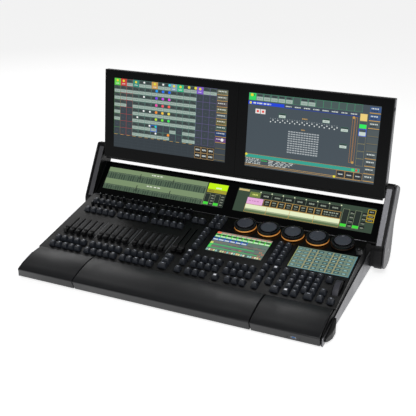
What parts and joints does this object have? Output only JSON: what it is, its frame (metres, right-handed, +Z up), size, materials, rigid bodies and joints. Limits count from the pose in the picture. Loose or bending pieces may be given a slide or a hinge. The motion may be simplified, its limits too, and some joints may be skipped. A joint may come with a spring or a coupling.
{
  "type": "lighting control desk",
  "caption": "Lighting control desk: folding screen frame and monitor wing over a sloping panel of faders, encoders and key banks.",
  "frame": {"origin": "middle of the desk in plan, on the surface that its foot strips stand on", "axes": "+X to the operator's right, +Y from the operator to the rear, +Z up"},
  "size_m": [1.0782, 0.683, 0.5364],
  "materials": {
    "tray": "black fine-textured powder coat",
    "panel": "black matt textured coat",
    "rail": "satin anodised silver",
    "palm": "dark grey soft-touch moulding",
    "rubber": "matt",
    "board": "green circuit board",
    "psu": "plain sheet steel",
    "screen": "black cover glass over a lit display",
    "latch": "black",
    "arm": "satin black, with a brushed silver strip",
    "arm_plate": "satin anodised silver",
    "shell": "black fine-textured moulding",
    "key": "dark grey keycaps, satin",
    "fader": "black caps with a pale index line",
    "knob": "black satin, amber light ring under each wheel"
  },
  "bodies": {
    "base": {"base_tray": "tray", "rear_cover": "tray", "pivot_block_left": "tray", "pivot_block_right": "tray", "control_panel": "panel", "side_rail_left": "rail", "side_rail_right": "rail", "palm_rest_left": "palm", "palm_rest_center": "palm", "palm_rest_right": "palm", "foot_strip_front": "rubber", "foot_strip_rear": "rubber", "mainboard": "board", "power_supply": "psu", "command_screen_left": "screen", "command_screen_right": "screen"},
    "screen_frame": {"arm_left": "arm", "arm_right": "arm", "arm_plate_left": "arm_plate", "arm_plate_right": "arm_plate", "letterbox_housing": "shell", "letterbox_glass": "screen"},
    "monitor_wing": {"wing_shell": "shell", "monitor_left": "screen", "monitor_right": "screen"},
    "side_latch_left": {"side_latch_left": "latch"},
    "side_latch_right": {"side_latch_right": "latch"},
    "key_bank_executor_front": {"key_bank_executor_front": "key"},
    "key_bank_executor_rear": {"key_bank_executor_rear": "key"},
    "key_bank_command_left": {"key_bank_command_left": "key"},
    "key_bank_macro_column": {"key_bank_macro_column": "key"},
    "key_bank_numeric_block": {"key_bank_numeric_block": "key"},
    "level_wheel": {"level_wheel": "knob"},
    "encoder_wheel_1": {"encoder_wheel_1": "knob"},
    "encoder_knob_1": {"encoder_knob_1": "knob"},
    "encoder_wheel_2": {"encoder_wheel_2": "knob"},
    "encoder_knob_2": {"encoder_knob_2": "knob"},
    "encoder_wheel_3": {"encoder_wheel_3": "knob"},
    "encoder_knob_3": {"encoder_knob_3": "knob"},
    "encoder_wheel_4": {"encoder_wheel_4": "knob"},
    "encoder_knob_4": {"encoder_knob_4": "knob"},
    "encoder_wheel_5": {"encoder_wheel_5": "knob"},
    "encoder_knob_5": {"encoder_knob_5": "knob"},
    "master_fader_a": {"master_fader_a": "fader"},
    "master_fader_b": {"master_fader_b": "fader"},
    "fader_01": {"fader_01": "fader"},
    "fader_02": {"fader_02": "fader"},
    "fader_03": {"fader_03": "fader"},
    "fader_04": {"fader_04": "fader"},
    "fader_05": {"fader_05": "fader"},
    "fader_06": {"fader_06": "fader"},
    "fader_07": {"fader_07": "fader"},
    "fader_08": {"fader_08": "fader"},
    "fader_09": {"fader_09": "fader"},
    "fader_10": {"fader_10": "fader"},
    "fader_11": {"fader_11": "fader"},
    "fader_12": {"fader_12": "fader"},
    "fader_13": {"fader_13": "fader"},
    "fader_14": {"fader_14": "fader"},
    "fader_15": {"fader_15": "fader"}
  },
  "joints": [
    {"name": "screen_frame_fold", "type": "hinge", "parent": "base", "child": "screen_frame", "pos_m": [0, 0.1786, 0.0784], "axis": [-1, 0, 0], "range_deg": [0, 40]},
    {"name": "monitor_wing_tilt", "type": "hinge", "parent": "screen_frame", "child": "monitor_wing", "pos_m": [0, 0.24314, 0.25731], "axis": [1, 0, 0], "range_deg": [-20, 114]},
    {"name": "side_latch_left_swing", "type": "hinge", "parent": "base", "child": "side_latch_left", "pos_m": [-0.4917, -0.234, 0.033], "axis": [-1, 0, 0], "range_deg": [0, 75]},
    {"name": "side_latch_right_swing", "type": "hinge", "parent": "base", "child": "side_latch_right", "pos_m": [0.4917, -0.234, 0.033], "axis": [-1, 0, 0], "range_deg": [0, 75]},
    {"name": "key_bank_executor_front_press", "type": "slide", "parent": "base", "child": "key_bank_executor_front", "axis": [0, 0.1924, -0.9813], "range_m": [0, 0.0025], "stiffness_N_per_m": 3600, "springref_m": -0.0025},
    {"name": "key_bank_executor_rear_press", "type": "slide", "parent": "base", "child": "key_bank_executor_rear", "axis": [0, 0.1924, -0.9813], "range_m": [0, 0.0025], "stiffness_N_per_m": 3600, "springref_m": -0.0025},
    {"name": "key_bank_command_left_press", "type": "slide", "parent": "base", "child": "key_bank_command_left", "axis": [0, 0.1924, -0.9813], "range_m": [0, 0.0025], "stiffness_N_per_m": 3600, "springref_m": -0.0025},
    {"name": "key_bank_macro_column_press", "type": "slide", "parent": "base", "child": "key_bank_macro_column", "axis": [0, 0.1924, -0.9813], "range_m": [0, 0.0025], "stiffness_N_per_m": 1560, "springref_m": -0.0025},
    {"name": "key_bank_numeric_block_press", "type": "slide", "parent": "base", "child": "key_bank_numeric_block", "axis": [0, 0.1924, -0.9813], "range_m": [0, 0.0025], "stiffness_N_per_m": 5280, "springref_m": -0.0025},
    {"name": "level_wheel_turn", "type": "hinge", "parent": "base", "child": "level_wheel", "pos_m": [0.4675, -0.12231, 0.05502], "axis": [1, 0, 0], "continuous": true},
    {"name": "encoder_wheel_1_turn", "type": "hinge", "parent": "base", "child": "encoder_wheel_1", "pos_m": [0.1037, 0.07444, 0.11702], "axis": [0, -0.1924, 0.9813], "continuous": true},
    {"name": "encoder_knob_1_turn", "type": "hinge", "parent": "base", "child": "encoder_knob_1", "pos_m": [0.1037, 0.07444, 0.11702], "axis": [0, -0.1924, 0.9813], "continuous": true},
    {"name": "encoder_wheel_2_turn", "type": "hinge", "parent": "base", "child": "encoder_wheel_2", "pos_m": [0.1833, 0.07444, 0.11702], "axis": [0, -0.1924, 0.9813], "continuous": true},
    {"name": "encoder_knob_2_turn", "type": "hinge", "parent": "base", "child": "encoder_knob_2", "pos_m": [0.1833, 0.07444, 0.11702], "axis": [0, -0.1924, 0.9813], "continuous": true},
    {"name": "encoder_wheel_3_turn", "type": "hinge", "parent": "base", "child": "encoder_wheel_3", "pos_m": [0.2629, 0.07444, 0.11702], "axis": [0, -0.1924, 0.9813], "continuous": true},
    {"name": "encoder_knob_3_turn", "type": "hinge", "parent": "base", "child": "encoder_knob_3", "pos_m": [0.2629, 0.07444, 0.11702], "axis": [0, -0.1924, 0.9813], "continuous": true},
    {"name": "encoder_wheel_4_turn", "type": "hinge", "parent": "base", "child": "encoder_wheel_4", "pos_m": [0.3425, 0.07444, 0.11702], "axis": [0, -0.1924, 0.9813], "continuous": true},
    {"name": "encoder_knob_4_turn", "type": "hinge", "parent": "base", "child": "encoder_knob_4", "pos_m": [0.3425, 0.07444, 0.11702], "axis": [0, -0.1924, 0.9813], "continuous": true},
    {"name": "encoder_wheel_5_turn", "type": "hinge", "parent": "base", "child": "encoder_wheel_5", "pos_m": [0.4221, 0.07444, 0.11702], "axis": [0, -0.1924, 0.9813], "continuous": true},
    {"name": "encoder_knob_5_turn", "type": "hinge", "parent": "base", "child": "encoder_knob_5", "pos_m": [0.4221, 0.07444, 0.11702], "axis": [0, -0.1924, 0.9813], "continuous": true},
    {"name": "master_fader_a_slide", "type": "slide", "parent": "base", "child": "master_fader_a", "axis": [0, 0.9813, 0.1924], "range_m": [0, 0.1]},
    {"name": "master_fader_b_slide", "type": "slide", "parent": "base", "child": "master_fader_b", "axis": [0, 0.9813, 0.1924], "range_m": [0, 0.1]},
    {"name": "fader_01_slide", "type": "slide", "parent": "base", "child": "fader_01", "axis": [0, 0.9813, 0.1924], "range_m": [0, 0.06]},
    {"name": "fader_02_slide", "type": "slide", "parent": "base", "child": "fader_02", "axis": [0, 0.9813, 0.1924], "range_m": [0, 0.06]},
    {"name": "fader_03_slide", "type": "slide", "parent": "base", "child": "fader_03", "axis": [0, 0.9813, 0.1924], "range_m": [0, 0.06]},
    {"name": "fader_04_slide", "type": "slide", "parent": "base", "child": "fader_04", "axis": [0, 0.9813, 0.1924], "range_m": [0, 0.06]},
    {"name": "fader_05_slide", "type": "slide", "parent": "base", "child": "fader_05", "axis": [0, 0.9813, 0.1924], "range_m": [0, 0.06]},
    {"name": "fader_06_slide", "type": "slide", "parent": "base", "child": "fader_06", "axis": [0, 0.9813, 0.1924], "range_m": [0, 0.06]},
    {"name": "fader_07_slide", "type": "slide", "parent": "base", "child": "fader_07", "axis": [0, 0.9813, 0.1924], "range_m": [0, 0.06]},
    {"name": "fader_08_slide", "type": "slide", "parent": "base", "child": "fader_08", "axis": [0, 0.9813, 0.1924], "range_m": [0, 0.06]},
    {"name": "fader_09_slide", "type": "slide", "parent": "base", "child": "fader_09", "axis": [0, 0.9813, 0.1924], "range_m": [0, 0.06]},
    {"name": "fader_10_slide", "type": "slide", "parent": "base", "child": "fader_10", "axis": [0, 0.9813, 0.1924], "range_m": [0, 0.06]},
    {"name": "fader_11_slide", "type": "slide", "parent": "base", "child": "fader_11", "axis": [0, 0.9813, 0.1924], "range_m": [0, 0.06]},
    {"name": "fader_12_slide", "type": "slide", "parent": "base", "child": "fader_12", "axis": [0, 0.9813, 0.1924], "range_m": [0, 0.06]},
    {"name": "fader_13_slide", "type": "slide", "parent": "base", "child": "fader_13", "axis": [0, 0.9813, 0.1924], "range_m": [0, 0.06]},
    {"name": "fader_14_slide", "type": "slide", "parent": "base", "child": "fader_14", "axis": [0, 0.9813, 0.1924], "range_m": [0, 0.06]},
    {"name": "fader_15_slide", "type": "slide", "parent": "base", "child": "fader_15", "axis": [0, 0.9813, 0.1924], "range_m": [0, 0.06]}
  ]
}
